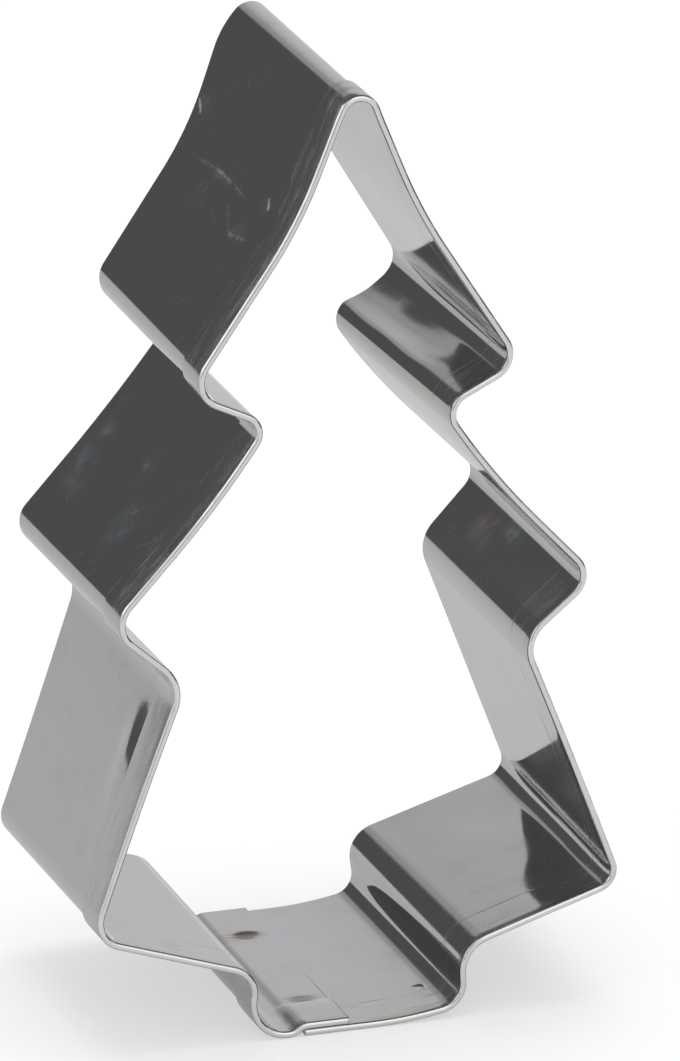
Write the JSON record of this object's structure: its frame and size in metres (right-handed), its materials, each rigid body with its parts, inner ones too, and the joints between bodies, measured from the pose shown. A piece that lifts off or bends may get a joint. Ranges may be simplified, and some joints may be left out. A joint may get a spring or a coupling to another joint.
{
  "type": "cookie cutter",
  "caption": "Fir-tree cookie cutter bent from one strip of polished sheet steel, with a rolled rim, a plain cutting edge and a spot-welded lap under the trunk.",
  "frame": {"origin": "on the plane that the cutter stands on, under the middle of the trunk and half way along the strip's depth", "axes": "+Z from the trunk up to the top of the tree, +Y from the rolled rim to the cutting edge, +X to the right seen from the rim"},
  "size_m": [0.0404, 0.025, 0.0717],
  "materials": {
    "polished_steel": "polished, with fine handling scratches",
    "rim_steel": "polished, rolled edge",
    "weld_steel": "heat-tinted spot weld"
  },
  "bodies": {
    "root": {"blade_wall": "polished_steel", "rolled_rim": "rim_steel", "spot_weld_front": "weld_steel", "spot_weld_rear": "weld_steel"}
  },
  "joints": []
}
